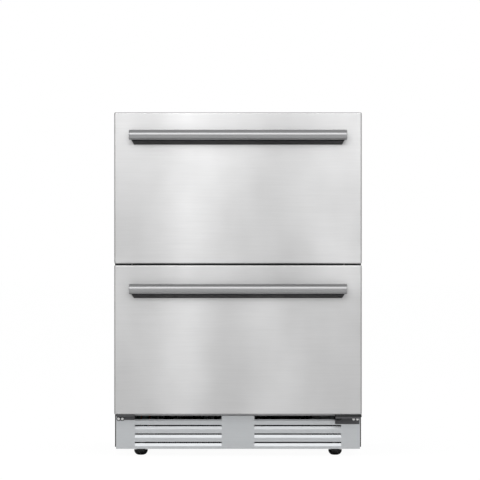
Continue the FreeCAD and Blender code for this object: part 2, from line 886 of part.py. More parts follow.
def make_arms(name, low):
    centre = low + slide_rise
    lip_top = centre + s.slide_half + s.arm_sheet
    arm_inner = arm_face - s.arm_sheet
    arm = Piece(name + "_drawer_arm_right")
    arm.pad("XZ", step_face, slide_rear, polygon(
        (arm_face, centre - s.arm_drop), (arm_face, lip_top), (arm_inner - s.arm_lip, lip_top),
        (arm_inner - s.arm_lip, lip_top - s.arm_sheet), (arm_inner, lip_top - s.arm_sheet),
        (arm_inner, centre - s.arm_drop)))
    arm.pad("XZ", step_face, step_face + s.arm_sheet, polygon(
        (arm_face, centre - s.arm_tab_drop), (arm_face, lip_top),
        (arm_inner - s.arm_tab, lip_top), (arm_inner - s.arm_tab, centre - s.arm_tab_drop)))
    keep_pair(name + "_drawer_arms", arm)
    return lip_top


def make_bin(name, low, depth, lip_top):
    """A floor, two end walls and two side walls with flanges, welded into a box."""
    outside = arm_face - s.arm_sheet - s.arm_lip - s.bin_side_clearance
    inside = outside - s.bin_wall
    rear = bin_front + depth
    floor_top = low + bin_low + s.bin_wall
    rim = lip_top + s.bin_wall
    flange = arm_face - s.bin_flange_clearance
    floor = Piece(name + "_bin_floor")
    floor.pad("XY", low + bin_low, floor_top, rectangle(-outside, bin_front, outside, rear))
    walls = [floor.body]
    for label, start in (("front", bin_front), ("rear", rear - s.bin_wall)):
        wall = Piece(f"{name}_bin_{label}")
        wall.pad("XZ", start, start + s.bin_wall, rectangle(-inside, floor_top, inside, rim))
        walls.append(wall.body)
    side = Piece(name + "_bin_right")
    side.pad("XZ", bin_front, rear, polygon(
        (inside, floor_top), (inside, rim), (flange, rim), (flange, lip_top), (outside, lip_top),
        (outside, floor_top)))
    tub = doc.addObject("Part::Compound", name + "_drawer_bin")
    tub.Label = name + "_drawer_bin"
    tub.Links = walls + [side.body, mirrored(name + "_bin_left", side)]
    keep(tub)


def make_drawers():
    lower_depth = hump_front - s.bin_rear_clearance - bin_front
    for name, low, high, drop, depth in (
            ("upper", upper_bottom, upper_top, s.upper_handle_drop, s.upper_bin_depth),
            ("lower", s.front_bottom, lower_top, s.lower_handle_drop, lower_depth)):
        make_front(name, low, high)
        make_handle(name, high - drop)
        make_slides(name, low)
        lip_top = make_arms(name, low)
        make_bin(name, low, depth, lip_top)


# Control box and lamp under the ceiling of the cold space

control_face = flange_y + s.control_setback
control_low = cavity_ceiling - s.control_height
control_middle = cavity_ceiling - s.control_height / 2
button_radius = s.button_diameter / 2
button_places = {"colder": s.button_offset, "warmer": s.button_offset + s.button_pitch}


def make_controls():
    box = Piece("control_housing")
    rear = control_face + s.control_depth
    box.pad("YZ", -s.control_width / 2, s.control_width / 2, polygon(
        (control_face, control_low), (rear - s.control_bevel, control_low),
        (rear, control_low + s.control_bevel), (rear, cavity_ceiling), (control_face, cavity_ceiling)))
    window = rectangle(-s.display_width / 2, control_middle - s.display_height / 2,
                       s.display_width / 2, control_middle + s.display_height / 2)
    box.pocket("XZ", control_face, control_face + s.display_seat, window)
    bore_rear = control_face + s.button_length - s.button_proud + s.button_travel
    box.pocket("XZ", control_face, bore_rear, *[
        circle(x, control_middle, button_radius + s.button_fit) for x in button_places.values()])
    keep(box)

    display = Piece("control_display")
    display.pad("XZ", control_face - s.display_proud, control_face + s.display_seat, window)
    keep(display)

    for name, x in button_places.items():
        button = Piece(name + "_button")
        front = control_face - s.button_proud
        button.pad("XZ", front, front + s.button_length, circle(x, control_middle, button_radius))
        button.fillet(s.button_proud / 2, lambda edge: lies_at(edge, 1, front))
        keep(button)

    lamp = Piece("ceiling_lamp")
    lamp_front = flange_y + s.lamp_setback
    lamp_rear = lamp_front + s.lamp_depth
    lamp_low = cavity_ceiling - s.lamp_height
    lamp.pad("YZ", -s.lamp_width / 2, s.lamp_width / 2, polygon(
        (lamp_front, cavity_ceiling), (lamp_front, lamp_low + s.lamp_bevel),
        (lamp_front + s.lamp_bevel, lamp_low), (lamp_rear - s.lamp_bevel, lamp_low),
        (lamp_rear, lamp_low + s.lamp_bevel), (lamp_rear, cavity_ceiling)))
    keep(lamp)


# Finned coils: straight tubes in a row along Y or Z, joined by half rings, with fins across them

tube_radius = s.tube / 2


def make_coil(label, stack, count, pitch, first, ends, fins, fin_outline):
    """ends are the two places across where the half rings start, first is the first tube's place."""
    coil = Piece(label)
    y, z = first
    left, right = ends
    coil.pad("YZ", left - s.coil_end, right, circle(y, z, tube_radius))
    rest = coil.pad("YZ", left, right, circle(*next_tube(stack, y, z, pitch, 1), tube_radius))
    coil.row([rest], stack, pitch, count - 1)
    axis = "V_Axis" if stack == "Y" else "H_Axis"
    for level, start, outwards in ((right, 0, True), (left, 1, False)):
        near = next_tube(stack, y, z, pitch, start)
        offset = (-pitch / 2, 0) if stack == "Y" else (0, -pitch / 2)
        middle = next_tube(stack, near[0], near[1], pitch / 2, 1)
        flip = outwards if stack == "Z" else not outwards
        bend = coil.half_turn(level, middle[0], middle[1], circle(*offset, tube_radius), axis, flip)
        coil.row([bend], stack, pitch * 2, (count / 2) if start == 0 else (count / 2 - 1))
    step = (right - left - s.fin) / (fins - 1)
    fin = coil.pad("YZ", left, left + s.fin, fin_outline)
    coil.row([fin], "X", step, fins)
    last = next_tube(stack, y, z, pitch, count - 1)
    coil.pad("YZ", left - s.coil_end, left, circle(*last, tube_radius))
    keep(coil)


def next_tube(stack, y, z, pitch, steps):
    if stack == "Y":
        return y + pitch * steps, z
    return y, z + pitch * steps


condenser_rear = bay_front - s.condenser_rear
condenser_front = condenser_rear - s.condenser_pitch * (s.condenser_count - 1)
condenser_level = base_top + s.condenser_height / 2
cover_low = mullion_top + s.cover_low


def make_coils():
    make_coil("condenser", "Y", s.condenser_count, s.condenser_pitch, (condenser_front, condenser_level),
              (-s.condenser_left, -s.condenser_right), s.condenser_fins,
              rectangle(condenser_front - s.coil_margin, base_top,
                        condenser_rear + s.coil_margin, base_top + s.condenser_height))
    low = cover_low + s.evaporator_low
    tube_y = cavity_rear - s.evaporator_depth / 2
    tube_z = low + s.coil_margin
    top = tube_z + s.evaporator_pitch * (s.evaporator_count - 1) + s.coil_margin
    make_coil("evaporator", "Z", s.evaporator_count, s.evaporator_pitch, (tube_y, tube_z),
              (-s.evaporator_half, s.evaporator_half), s.evaporator_fins,
              rectangle(cavity_rear - s.evaporator_depth, low, cavity_rear, top))


# Fans: blades on a hub, a motor with its shaft, and what carries the motor

BLADE_ROOT_PITCH = 42
BLADE_TIP_PITCH = 26
blade_half_depth = s.blade_depth / 2
hub_half_depth = blade_half_depth + s.hub_lip


def blade_section(pitch_degrees):
    """A slanted strip as deep as the hub, seen along the blade."""
    lean = 1 / math.tan(math.radians(pitch_degrees))
    chord = blade_half_depth * lean
    thick = s.blade_thickness
    return polygon((-chord, -blade_half_depth), (thick - chord, -blade_half_depth),
                   (chord, blade_half_depth), (chord - thick, blade_half_depth))


def make_blades(label, centre, hub, tip):
    fan = Piece(label)
    root = fan.sketch("XY", hub / 2, [blade_section(BLADE_ROOT_PITCH)])
    outer = fan.sketch("XY", tip, [blade_section(BLADE_TIP_PITCH)])
    blade = fan.feature("AdditiveLoft", root)
    blade.Sections = [outer]
    fan.pad("XZ", -hub_half_depth, hub_half_depth, circle(0, 0, hub))
    fan.ring([blade], "Y", s.blade_count)
    fan.pocket("XZ", -hub_half_depth, hub_half_depth, circle(0, 0, s.shaft / 2 + s.shaft_fit))
    fan.place(*centre)
    keep(fan)


warm_x = -s.warm_fan_offset
warm_z = base_top + s.warm_fan_height
shroud_front = bay_front + s.shroud_setback
warm_y = shroud_front + s.shroud_sheet + s.blade_clearance + hub_half_depth
warm_plate = warm_y + hub_half_depth + s.blade_clearance


def make_condenser_fan():
    opening = s.warm_fan_tip + s.fan_opening
    reach = opening + s.shroud_margin
    shroud = Piece("condenser_fan_shroud")
    shroud.pad("XZ", shroud_front, shroud_front + s.shroud_sheet,
               rectangle(warm_x - reach, base_top, warm_x + reach, warm_z + reach),
               circle(warm_x, warm_z, opening))
    plate_rear = warm_plate + s.motor_plate
    shroud.pad("XZ", shroud_front + s.shroud_sheet, plate_rear,
               circle(warm_x, warm_z, opening), circle(warm_x, warm_z, opening + s.shroud_sheet))
    half_arm = s.shroud_arm / 2
    rim = opening + s.shroud_sheet / 2
    shroud.pad("XZ", warm_plate, plate_rear, circle(warm_x, warm_z, s.warm_motor_radius))
    for across, up in ((rim, half_arm), (half_arm, rim)):
        shroud.pad("XZ", warm_plate, plate_rear,
                   rectangle(warm_x - across, warm_z - up, warm_x + across, warm_z + up))
    shroud.pocket("XZ", warm_plate, plate_rear, circle(warm_x, warm_z, s.shaft / 2 + s.shaft_fit))
    keep(shroud)

    motor = Piece("condenser_fan_motor")
    motor_rear = plate_rear + s.warm_motor_length
    motor.pad("XZ", plate_rear, motor_rear, circle(warm_x, warm_z, s.warm_motor_radius))
    motor.fillet(s.motor_edge, lambda edge: lies_at(edge, 1, motor_rear))
    motor.pad("XZ", warm_y - hub_half_depth, plate_rear, circle(warm_x, warm_z, s.shaft / 2))
    keep(motor)
    make_blades("condenser_fan_blades", (warm_x, warm_y, warm_z), s.warm_fan_hub, s.warm_fan_tip)


cold_z = cover_low + s.cold_fan_height
cold_plate = cavity_rear - s.motor_plate
cold_motor_front = cold_plate - s.cold_motor_length
cold_y = cold_motor_front - s.blade_clearance - hub_half_depth


def make_evaporator_fan():
    motor = Piece("evaporator_fan_motor")
    foot = s.cold_fan_tip
    motor.pad("XZ", cold_plate, cavity_rear, rectangle(-foot, cold_z - foot, foot, cold_z + foot))
    motor.fillet(s.cover_radius, lambda edge: runs_along(edge, 1))
    motor.pad("XZ", cold_motor_front, cold_plate, circle(0, cold_z, s.cold_motor_radius))
    motor.pad("XZ", cold_y - hub_half_depth, cold_motor_front, circle(0, cold_z, s.shaft / 2))
    keep(motor)
    make_blades("evaporator_fan_blades", (0, cold_y, cold_z), s.cold_fan_hub, s.cold_fan_tip)

    cover = Piece("evaporator_cover")
    front = cavity_rear - s.cover_depth
    wall = s.cover_wall
    high = cover_low + s.cover_height
    cover.pad("XZ", front, cavity_rear,
              rounded(-s.cover_half, cover_low, s.cover_half, high, s.cover_radius))
    cover.pocket("XZ", front + wall, cavity_rear, rounded(
        -s.cover_half + wall, cover_low + wall, s.cover_half - wall, high - wall, s.cover_radius - wall))
    slot_half = s.cover_half - s.inlet_margin
    slot_low = cover_low + s.inlet_low
    slot = cover.pocket("XZ", front, front + wall,
                        rectangle(-slot_half, slot_low, slot_half, slot_low + s.inlet_slot))
    cover.row([slot], "Z", s.inlet_pitch, s.inlet_count)
    opening = s.cold_fan_tip + s.fan_opening
    cover.pocket("XZ", front, front + wall, circle(0, cold_z, opening))
    half_guard = s.fan_guard / 2
    for across, up in ((opening + wall, half_guard), (half_guard, opening + wall)):
        cover.pad("XZ", front, front + wall, rectangle(-across, cold_z - up, across, cold_z + up))
    for ring_radius in (opening / 3, opening * 2 / 3):
        cover.pad("XZ", front, front + wall, circle(0, cold_z, ring_radius + s.fan_guard),
                  circle(0, cold_z, ring_radius))
    keep(cover)


# Compressor set in the machine bay

compressor_x = foot_across - s.boss_diameter / 2 - s.compressor_margin - s.compressor_plate_width / 2
compressor_y = bay_front + s.bay_depth / 2
plate_low = base_top + s.grommet_height
plate_high = plate_low + s.compressor_plate
compressor_top = s.bay_height - s.compressor_headroom
port_top = compressor_top + s.port_height


def grommet_places():
    across = s.compressor_plate_width / 2 - s.grommet_edge
    along = s.compressor_plate_depth / 2 - s.grommet_edge
    return [(compressor_x + across * i, compressor_y + along * j) for i in (-1, 1) for j in (-1, 1)]


def make_compressor():
    x, y = compressor_x, compressor_y
    shell = Piece("compressor")
    shell.pad("XY", plate_high, compressor_top, circle(x, y, s.compressor_radius))
    shell.fillet(s.compressor_dome, lambda edge: not runs_along(edge, 2))
    seam_low = (plate_high + compressor_top) / 2
    shell.pad("XY", seam_low, seam_low + s.compressor_seam,
              circle(x, y, s.compressor_radius + s.compressor_seam))
    half_plate = s.compressor_plate_width / 2
    half_depth = s.compressor_plate_depth / 2
    shell.pad("XY", plate_low, plate_high,
              rectangle(x - half_plate, y - half_depth, x + half_plate, y + half_depth))
    shell.pocket("XY", plate_low, plate_high, *[
        circle(*place, s.grommet_neck + s.grommet_fit) for place in grommet_places()])
    shell.pad("XY", compressor_top, port_top, *[
        circle(x + s.port_offset * side, y, s.port_radius) for side in (-1, 1)])
    keep(shell)

    grommets = Piece("compressor_grommets")
    grommets.pad("XY", base_top, plate_low, *[
        circle(*place, s.grommet_radius) for place in grommet_places()])
    grommets.pad("XY", plate_low, plate_high + s.grommet_fit, *[
        circle(*place, s.grommet_neck) for place in grommet_places()])
    keep(grommets)

    cover = Piece("compressor_terminal_cover")
    low = plate_high + s.terminal_low
    outer = x - s.compressor_radius - s.terminal_depth
    half = s.terminal_width / 2
    cover.pad("XY", low, low + s.terminal_height,
              rectangle(outer, y - half, x - s.compressor_radius / 2, y + half))
    cover.fillet(s.motor_edge, lambda edge: lies_at(edge, 0, outer))
    cover.pocket("XY", low, low + s.terminal_height,
                 circle(x, y, s.compressor_radius + s.compressor_seam + s.saddle_clearance))
    keep(cover)

    pan = Piece("evaporation_pan")
    pan_rear = rear_y - s.base_sheet - s.pan_setback
    pan_front = pan_rear - s.pan_depth
    wall = s.pan_wall
    pan.pad("XY", base_top, base_top + s.pan_height,
            rounded(-s.pan_left, pan_front, -s.pan_right, pan_rear, s.cover_radius))
    pan.pocket("XY", base_top + wall, base_top + s.pan_height, rounded(
        -s.pan_left + wall, pan_front + wall, -s.pan_right - wall, pan_rear - wall, s.cover_radius - wall))
    keep(pan)


def bent_tube(places, radius, bend):
    """A tube along straight runs joined by tangent arcs."""
    points = [FreeCAD.Vector(*[as_size(c).value for c in place]) for place in places]
    edges = []
    start = points[0]
    for before, corner, after in zip(points, points[1:], points[2:]):
        towards = (before - corner).normalize()
        away = (after - corner).normalize()
        entry = corner + towards * bend.value
        leave = corner + away * bend.value
        hub = corner + (towards + away) * bend.value
        crest = hub - (towards + away).normalize() * bend.value
        edges.append(Part.LineSegment(start, entry).toShape())
        edges.append(Part.Arc(entry, crest, leave).toShape())
        start = leave
    edges.append(Part.LineSegment(start, points[-1]).toShape())
    path = Part.Wire(edges)
    ring = Part.Wire([Part.Circle(points[0], points[1] - points[0], radius.value).toShape()])
    return path.makePipeShell([ring], True, False)


def make_lines():
    x = compressor_x
    rise = port_top + s.line_rise
    coil_end = -(s.condenser_left + s.coil_end)
    discharge = bent_tube([
        (x - s.port_offset, compressor_y, port_top), (x - s.port_offset, compressor_y, rise),
        (-s.line_side, compressor_y, rise), (-s.line_side, compressor_y, condenser_level),
        (-s.line_side, condenser_rear, condenser_level), (coil_end, condenser_rear, condenser_level)],
        s.line_radius, s.line_bend)
    suction_x = x + s.port_offset + s.line_bend * 3
    suction = bent_tube([
        (x + s.port_offset, compressor_y, port_top), (x + s.port_offset, compressor_y, rise),
        (suction_x, compressor_y, rise), (suction_x, compressor_y, s.bay_height)],
        s.line_radius, s.line_bend)
    drier_front = condenser_front + s.line_bend * 3
    drier_rear = drier_front + s.drier_length
    liquid = bent_tube([
        (coil_end, condenser_front, condenser_level), (-s.drier_side, condenser_front, condenser_level),
        (-s.drier_side, drier_front, condenser_level)], s.line_radius, s.line_bend)
    drier = Part.makeCylinder(s.drier_radius.value, s.drier_length.value,
                              FreeCAD.Vector(-s.drier_side.value, drier_front.value, condenser_level.value),
                              FreeCAD.Vector(0, 1, 0))
    drier = drier.makeFillet(s.drier_radius.value / 2, [e for e in drier.Edges if e.Closed])
    capillary_rear = bay_front + s.capillary_run
    capillary = bent_tube([
        (-s.drier_side, drier_rear, condenser_level), (-s.drier_side, capillary_rear, condenser_level),
        (-s.drier_side, capillary_rear, s.bay_height)], s.capillary_radius, s.line_bend)
    lines = doc.addObject("Part::Feature", "refrigerant_lines")
    lines.Label = "refrigerant_lines"
    lines.Shape = Part.makeCompound([discharge, suction, liquid, drier, capillary])
    keep(lines)


# Service cover at the back of the machine bay, with the mains inlet

def make_service_cover():
    cover = Piece("rear_service_cover")
    cover.pad("XZ", rear_y, back_y, rectangle(-half_width, s.cabinet_bottom, half_width, s.bay_height))
    slot_half = s.slot_width / 2
    slots = []
    for side in (-1, 1):
        middle = compressor_x * side
        slots.append(cover.pocket("XZ", rear_y, back_y, rectangle(
            middle - slot_half, s.slot_low, middle + slot_half, s.slot_low + s.slot_height)))
    cover.row(slots, "Z", s.slot_pitch, s.slot_count)
    x, z = -s.inlet_offset, s.inlet_level
    half = s.inlet_width / 2
    tall = s.inlet_height / 2
    fit = s.inlet_fit
    cover.pocket("XZ", rear_y, back_y,
                 rectangle(x - half - fit, z - tall - fit, x + half + fit, z + tall + fit))
    keep(cover)

    inlet = Piece("mains_inlet")
    wall = s.inlet_wall
    inlet.pad("XZ", back_y - s.inlet_body, back_y, rectangle(x - half, z - tall, x + half, z + tall))
    rim = s.inlet_flange
    inlet.pad("XZ", rear_y - wall, rear_y,
              rectangle(x - half - rim, z - tall - rim, x + half + rim, z + tall + rim))
    inlet.pocket("XZ", back_y - s.inlet_body + wall, back_y, rectangle(
        x - half + wall, z - tall + wall, x + half - wall, z + tall - wall))
    pins = [x + wall * 3 * i for i in (-1, 0, 1)]
    inlet.pad("XZ", back_y - s.inlet_body + wall, back_y - wall, *[
        rectangle(pin_x - wall / 2, z - wall, pin_x + wall / 2, z + wall) for pin_x in pins])
    keep(inlet)


make_shell()
make_base()
make_feet()
make_kick_plate()
make_brackets()
make_drawers()
make_controls()
make_coils()
make_condenser_fan()
make_evaporator_fan()
make_compressor()
make_lines()
make_service_cover()
doc.recompute()

for item in doc.Objects:
    if "Invalid" in item.State or "Error" in item.State:
        raise RuntimeError(f"{item.Label} failed: {item.State}")
for node in NODES:
    if node.Shape.isNull() or not node.Shape.isValid() or not node.Shape.Solids:
        raise RuntimeError(f"{node.Label} has no sound shape")

os.makedirs("parts", exist_ok=True)
for node in NODES:
    node.Shape.exportStep(f"parts/{node.Label}.step")
print(f"{len(NODES)} sub-parts written")
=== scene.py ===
import json
import math

import bmesh
import bpy
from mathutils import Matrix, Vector


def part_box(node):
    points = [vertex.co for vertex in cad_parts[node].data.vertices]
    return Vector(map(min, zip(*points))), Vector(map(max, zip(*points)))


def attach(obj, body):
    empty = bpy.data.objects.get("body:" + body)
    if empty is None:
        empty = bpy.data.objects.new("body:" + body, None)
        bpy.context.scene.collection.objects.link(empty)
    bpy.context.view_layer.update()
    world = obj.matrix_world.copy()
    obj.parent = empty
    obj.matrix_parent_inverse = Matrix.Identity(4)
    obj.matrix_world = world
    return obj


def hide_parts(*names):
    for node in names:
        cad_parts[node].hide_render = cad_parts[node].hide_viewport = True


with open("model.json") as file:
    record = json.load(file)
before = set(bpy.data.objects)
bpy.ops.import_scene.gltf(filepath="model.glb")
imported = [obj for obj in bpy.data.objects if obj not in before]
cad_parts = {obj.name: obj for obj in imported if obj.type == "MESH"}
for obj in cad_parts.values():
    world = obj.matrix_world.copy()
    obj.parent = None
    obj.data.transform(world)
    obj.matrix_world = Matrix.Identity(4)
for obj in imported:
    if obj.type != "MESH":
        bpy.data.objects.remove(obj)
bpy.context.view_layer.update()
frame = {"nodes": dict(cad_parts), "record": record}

NODES = frame["nodes"]
SIDES = (-1.0, 1.0)


# Nodes that finishes and the studio share

def spread_nodes(tree, pattern, low, high, start, end):
    """A pattern's values from start to end, spread from low to high."""
    ranged = tree.nodes.new("ShaderNodeMapRange")
    for socket, value in (("From Min", start), ("From Max", end), ("To Min", low), ("To Max", high)):
        ranged.inputs[socket].default_value = value
    tree.links.new(pattern, ranged.inputs["Value"])
    return ranged.outputs["Result"]


def ramp_nodes(tree, pattern, stops):
    """Greys at places from 0 to 1, with a smooth change between them."""
    made = tree.nodes.new("ShaderNodeValToRGB")
    ramp = made.color_ramp
    ramp.interpolation = "CARDINAL"
    while len(ramp.elements) < len(stops):
        ramp.elements.new(1.0)
    for element, (place, grey) in zip(ramp.elements, stops):
        element.position = place
        element.color = (grey, grey, grey, 1.0)
    tree.links.new(pattern, made.inputs["Fac"])
    return made.outputs["Color"]


# Finishes, all on Object coordinates

def even(scale):
    """The same scale on all three axes."""
    return (scale, scale, scale)


class Finish:
    """A material with one shader and the patterns that feed it."""

    def __init__(self, name, colour, roughness, metallic=0.0):
        self.material = bpy.data.materials.new(name)
        self.material.use_nodes = True
        self.tree = self.material.node_tree
        self.shader = self.tree.nodes["Principled BSDF"]
        self.colour = colour
        self.set("Base Color", (*colour, 1.0))
        self.set("Roughness", roughness)
        self.set("Metallic", metallic)

    def set(self, socket, value):
        self.shader.inputs[socket].default_value = value

    def node(self, kind, **values):
        made = self.tree.nodes.new(kind)
        for socket, value in values.items():
            made.inputs[socket].default_value = value
        return made

    def join(self, source, target):
        self.tree.links.new(source, target)

    def stretched(self, scale):
        """Object coordinates, stretched by a scale on each axis."""
        place = self.node("ShaderNodeTexCoord")
        mapping = self.node("ShaderNodeMapping", Scale=scale)
        self.join(place.outputs["Object"], mapping.inputs["Vector"])
        return mapping.outputs["Vector"]

    def grain(self, scale, detail=4.0):
        """Noise that is drawn out along the axes with a small scale."""
        noise = self.node("ShaderNodeTexNoise", Scale=1.0, Detail=detail)
        self.join(self.stretched(scale), noise.inputs["Vector"])
        return noise.outputs["Fac"]

    def cells(self, scale):
        """Cells, with the Distance to the middle of each and a Color of its own."""
        pattern = self.node("ShaderNodeTexVoronoi", Scale=1.0)
        self.join(self.stretched(even(scale)), pattern.inputs["Vector"])
        return pattern.outputs

    def along(self, axis, low, high):
        """0 to 1 between two places on an axis."""
        place = self.node("ShaderNodeTexCoord")
        split = self.node("ShaderNodeSeparateXYZ")
        self.join(place.outputs["Object"], split.inputs["Vector"])
        return self.spread(split.outputs[axis], 0.0, 1.0, low, high)

    def spread(self, pattern, low, high, start=0.3, end=0.7):
        return spread_nodes(self.tree, pattern, low, high, start, end)

    def blend(self, share, first, second):
        mix = self.node("ShaderNodeMix")
        self.join(share, mix.inputs["Factor"])
        self.join(first, mix.inputs["A"])
        self.join(second, mix.inputs["B"])
        return mix.outputs["Result"]

    def product(self, first, second):
        times = self.node("ShaderNodeMath")
        times.operation = "MULTIPLY"
        self.join(first, times.inputs[0])
        self.join(second, times.inputs[1])
        return times.outputs["Value"]

    def shade(self, factor):
        """Scales the base colour by a pattern."""
        scaled = self.node("ShaderNodeVectorMath")
        scaled.operation = "SCALE"
        scaled.inputs[0].default_value = self.colour
        self.join(factor, scaled.inputs["Scale"])
        self.join(scaled.outputs["Vector"], self.shader.inputs["Base Color"])

    def roughen(self, pattern, low, high):
        self.join(self.spread(pattern, low, high), self.shader.inputs["Roughness"])

    def relief(self, pattern, depth, strength=0.5):
        bump = self.node("ShaderNodeBump", Strength=strength, Distance=depth)
        self.join(pattern, bump.inputs["Height"])
        self.join(bump.outputs["Normal"], self.shader.inputs["Normal"])


# Painted reflections: soft bright bands of tone across the fronts, as (place from left to right, tone)
BETWEEN_REFLECTIONS, FAINT_REFLECTION, BRIGHT_REFLECTION = 0.81, 0.9, 1.0
UPPER_PAINTED_REFLECTIONS = ((0.0, BETWEEN_REFLECTIONS), (0.17, BETWEEN_REFLECTIONS), (0.31, BRIGHT_REFLECTION), (0.46, FAINT_REFLECTION), (0.66, BETWEEN_REFLECTIONS), (0.9, FAINT_REFLECTION),
               (1.0, FAINT_REFLECTION))
LOWER_PAINTED_REFLECTIONS = ((0.0, BETWEEN_REFLECTIONS), (0.15, BETWEEN_REFLECTIONS), (0.3, BRIGHT_REFLECTION), (0.46, BETWEEN_REFLECTIONS), (0.64, FAINT_REFLECTION), (0.88, BETWEEN_REFLECTIONS),
               (1.0, BETWEEN_REFLECTIONS))
FRONT_EDGES = (-0.2975, 0.2975)
BAND_CHANGE = (0.385, 0.425)            # heights behind the lower handle
FOLD_WIDTH, FOLD_PAINTED_SHADE = 0.004, 0.5      # painted shade: the folded sides are darker
CLOUD_SCALE, CLOUD_TONES = (7.0, 7.0, 4.5), (0.93, 1.07)
STREAK_SCALE, STREAK_TONES = (14.0, 14.0, 260.0), (0.985, 1.015)

SCRATCH_GLOSS, SCRATCH_DEPTH, SCRATCH_RELIEF = 0.05, 0.00005, 0.25
PAINT_WEAR_SCALE, PAINT_WEAR_TONES, PAINT_GLOSS = 14.0, (0.97, 1.03), 0.03
PLASTIC_FLOW_SCALE, PLASTIC_FLOW_TONES, PLASTIC_GLOSS = 9.0, (0.95, 1.05), (-0.05, 0.07)
ZINC_ROUGHNESS, ZINC_GLOSS, ZINC_MOTTLE_FINENESS, ZINC_MOTTLE_TONES = 0.43, 0.7, 5.0, (0.96, 1.04)
FOAM_CELL_SCALE, FOAM_TONES, FOAM_DEPTH, FOAM_RELIEF = 420.0, (0.82, 1.06), 0.0006, 0.6
FOAM_CELL_REACH = (0.1, 0.8)


def brushed(name, colour, roughness, grain, tone=0.03, painted_reflections=False):
    """Brushed steel, its scratches drawn out along the axis with the small scale."""
    steel = Finish(name, colour, roughness, metallic=1.0)
    scratches = steel.grain(grain)
    factor = steel.spread(scratches, 1.0 - tone, 1.0 + tone)
    if painted_reflections:
        # painted reflections: brighter upright bands in the base colour, one table for each front
        across = steel.along("X", *FRONT_EDGES)
        below, above = (ramp_nodes(steel.tree, across, bands) for bands in (LOWER_PAINTED_REFLECTIONS, UPPER_PAINTED_REFLECTIONS))
        factor = steel.product(factor, steel.blend(steel.along("Z", *BAND_CHANGE), below, above))
        # painted shade at the folded sides: the tone falls to half at each side edge
        for edge, inwards in zip(FRONT_EDGES, (1.0, -1.0)):
            inside = steel.along("X", edge, edge + inwards * FOLD_WIDTH)
            factor = steel.product(factor, steel.spread(inside, FOLD_PAINTED_SHADE, 1.0, 0.0, 1.0))
        clouds, streaks = steel.grain(CLOUD_SCALE, detail=2.0), steel.grain(STREAK_SCALE, detail=3.0)
        factor = steel.product(factor, steel.spread(clouds, *CLOUD_TONES))
        factor = steel.product(factor, steel.spread(streaks, *STREAK_TONES))
    steel.shade(factor)
    steel.roughen(scratches, roughness - SCRATCH_GLOSS, roughness + SCRATCH_GLOSS)
    steel.relief(scratches, SCRATCH_DEPTH, SCRATCH_RELIEF)
    return steel.material


def painted(name, colour, roughness, peel=900.0, depth=0.00006, gloss=0.35):
    """Paint with the fine orange peel of a sprayed sheet."""
    paint = Finish(name, colour, roughness)
    paint.set("Specular IOR Level", gloss)
    drops = paint.grain(even(peel), detail=2.0)
    wear = paint.grain(even(PAINT_WEAR_SCALE), detail=5.0)
    paint.shade(paint.spread(wear, *PAINT_WEAR_TONES))
    paint.roughen(drops, roughness - PAINT_GLOSS, roughness + PAINT_GLOSS)
    paint.relief(drops, depth)
    return paint.material


def moulded(name, colour, roughness, grain=1600.0, depth=0.00004):
    """Moulded plastic or rubber with a fine spark-eroded grain."""
    plastic = Finish(name, colour, roughness)
    pits = plastic.grain(even(grain), detail=2.0)
    flow = plastic.grain(even(PLASTIC_FLOW_SCALE), detail=3.0)
    less, more = PLASTIC_GLOSS
    plastic.shade(plastic.spread(flow, *PLASTIC_FLOW_TONES))
    plastic.roughen(pits, roughness + less, roughness + more)
    plastic.relief(pits, depth)
    return plastic.material


def galvanised(name, colour, spangle, contrast):
    """Zinc with its crystals, each a little lighter or darker than the next."""
    zinc = Finish(name, colour, ZINC_ROUGHNESS, metallic=1.0)
    crystals = zinc.cells(spangle)["Color"]
    mottle = zinc.grain(even(spangle * ZINC_MOTTLE_FINENESS), detail=3.0)
    tone = zinc.spread(crystals, 1.0 - contrast, 1.0 + contrast, 0.0, 1.0)
    zinc.shade(zinc.product(tone, zinc.spread(mottle, *ZINC_MOTTLE_TONES)))
    gloss = contrast * ZINC_GLOSS
    zinc.roughen(crystals, ZINC_ROUGHNESS - gloss, ZINC_ROUGHNESS + gloss)
    return zinc.material


def foamed(name, colour):
    foam = Finish(name, colour, roughness=0.9)
    bubbles = foam.cells(FOAM_CELL_SCALE)["Distance"]
    foam.shade(foam.spread(bubbles, *FOAM_TONES, *FOAM_CELL_REACH))
    foam.relief(bubbles, FOAM_DEPTH, FOAM_RELIEF)
    return foam.material


def lit(name, colour, strength):
    glow = Finish(name, colour, roughness=0.35)
    glow.set("Emission Color", (*colour, 1.0))
    glow.set("Emission Strength", strength)
    return glow.material


